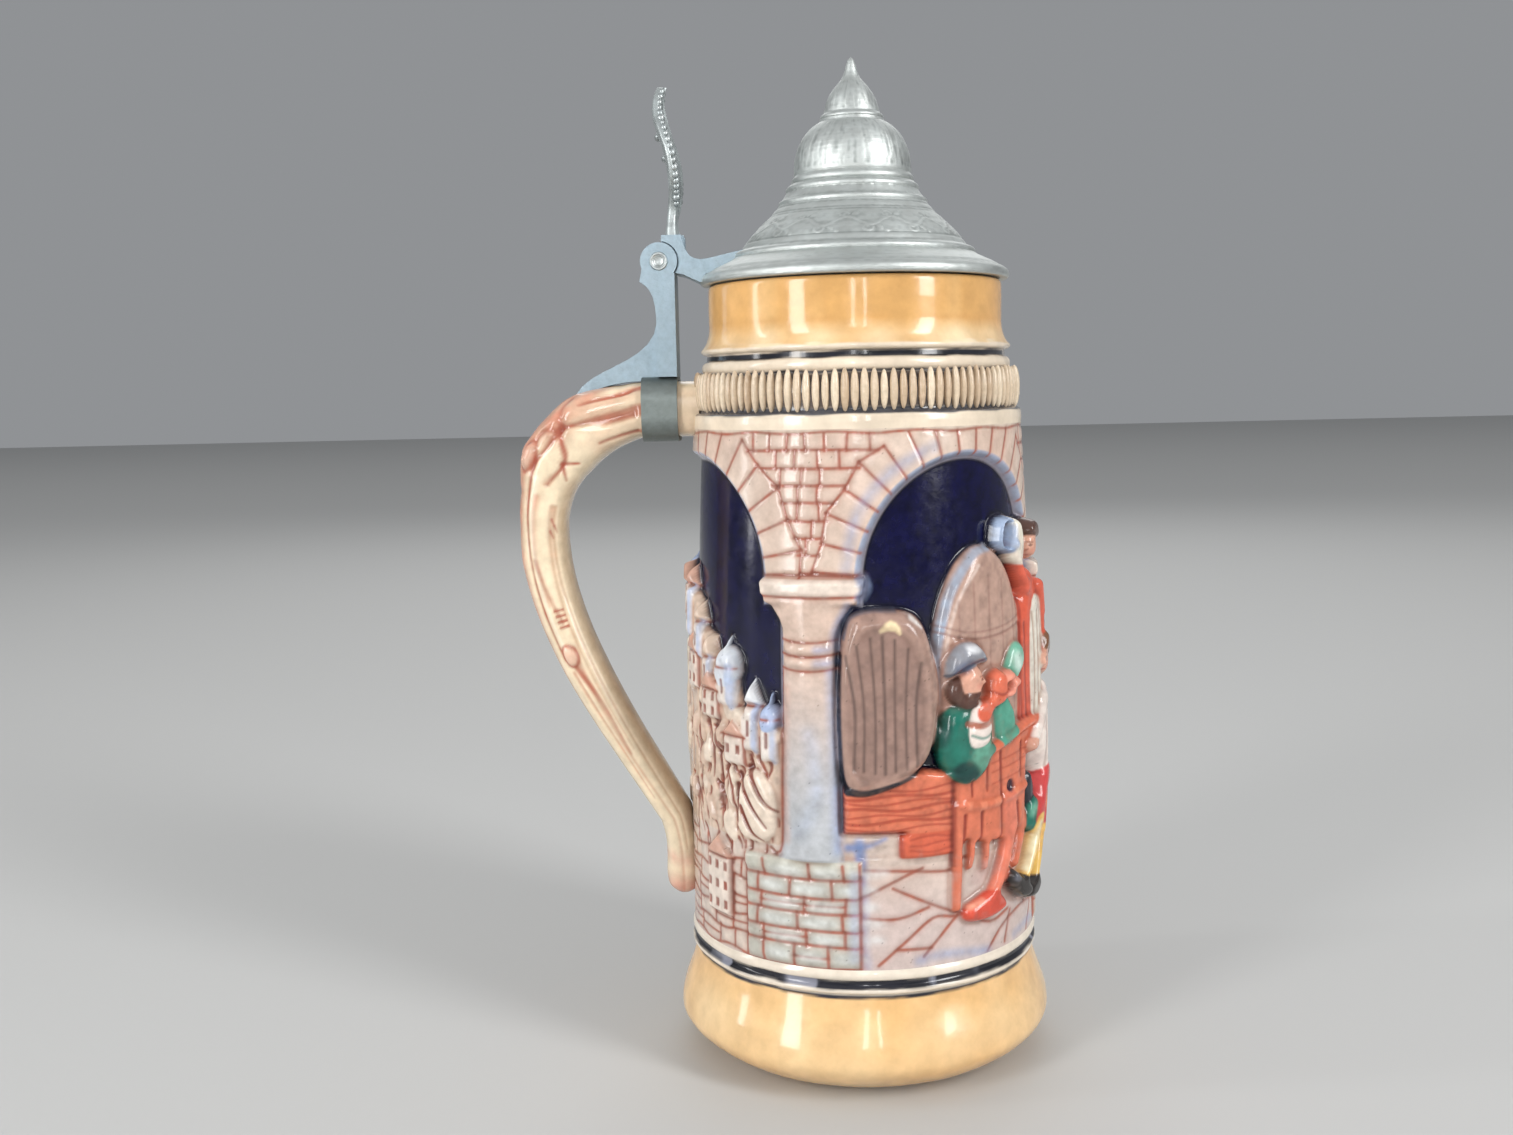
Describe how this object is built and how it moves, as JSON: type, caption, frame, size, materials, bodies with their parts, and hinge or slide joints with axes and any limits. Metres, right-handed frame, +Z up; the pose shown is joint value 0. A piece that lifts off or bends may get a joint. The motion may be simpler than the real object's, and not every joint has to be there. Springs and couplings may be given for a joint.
{
  "type": "beer stein",
  "caption": "Tall glazed relief stein with an arcade round its wall, a branch handle and a hinged pewter lid raised by a thumblift.",
  "frame": {"origin": "centre of the foot, on the surface that the stein stands on", "axes": "+Z up along the mug's axis; the handle and the lid's hinge lie towards -X; Y runs along the hinge pin"},
  "size_m": [0.1352, 0.096, 0.2506],
  "materials": {
    "painted_ceramic": "hand-painted relief under a glossy clear glaze",
    "handle_ceramic": "cream glaze over brown-red stained flutes",
    "pewter": "brushed pewter with a soft grey sheen",
    "cast_pewter": "cast pewter with polished high spots",
    "strap_pewter": "dull dark pewter",
    "pin_steel": "drawn wire"
  },
  "bodies": {
    "stein": {"mug_body": "painted_ceramic", "handle": "handle_ceramic", "handle_strap": "strap_pewter", "hinge_shank": "pewter", "hinge_pin": "pin_steel", "pin_plugs": "pewter"},
    "lid": {"lid": "pewter", "lid_bulb": "pewter", "lid_finial": "pewter", "centring_ring": "pewter", "lid_arm": "pewter", "thumblift": "cast_pewter"}
  },
  "joints": [
    {"name": "lid_hinge", "type": "hinge", "parent": "stein", "child": "lid", "pos_m": [-0.0486, 0, 0.2015], "axis": [0, -1, 0], "range_deg": [0, 105]}
  ]
}
